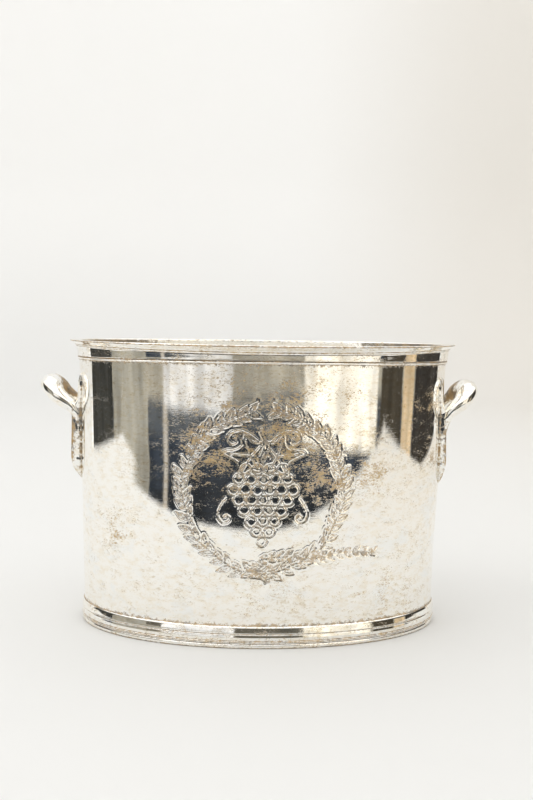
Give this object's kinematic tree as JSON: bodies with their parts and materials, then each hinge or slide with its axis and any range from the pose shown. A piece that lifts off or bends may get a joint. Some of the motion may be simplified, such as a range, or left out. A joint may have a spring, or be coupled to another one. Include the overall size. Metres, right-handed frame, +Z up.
{
  "type": "champagne bucket",
  "caption": "Oval silver-plated champagne bucket with moulded rim and foot, and a small cast loop handle soldered to each end by leaf-ended mounts.",
  "frame": {"origin": "centre of the foot, on the surface that the bucket stands on", "axes": "+Z up, +X along the long axis towards the right-hand handle, front at -Y"},
  "size_m": [0.4002, 0.2408, 0.258],
  "materials": {
    "wall_plate": "silver plate over brass, bright and worn",
    "floor_plate": "silver plate over brass, dull",
    "moulding_plate": "silver plate over brass, worn on the edges",
    "cast_plate": "silver plate over cast brass, tarnished in the hollows"
  },
  "bodies": {
    "root": {"body_wall": "wall_plate", "base_plate": "floor_plate", "foot_base_wire": "moulding_plate", "foot_band": "moulding_plate", "foot_torus": "moulding_plate", "mouth_bead": "moulding_plate", "mouth_collar": "moulding_plate", "rim": "moulding_plate", "handle_left_mount_front": "cast_plate", "handle_left_mount_back": "cast_plate", "handle_left_loop": "cast_plate", "handle_right_mount_front": "cast_plate", "handle_right_mount_back": "cast_plate", "handle_right_loop": "cast_plate"}
  },
  "joints": []
}
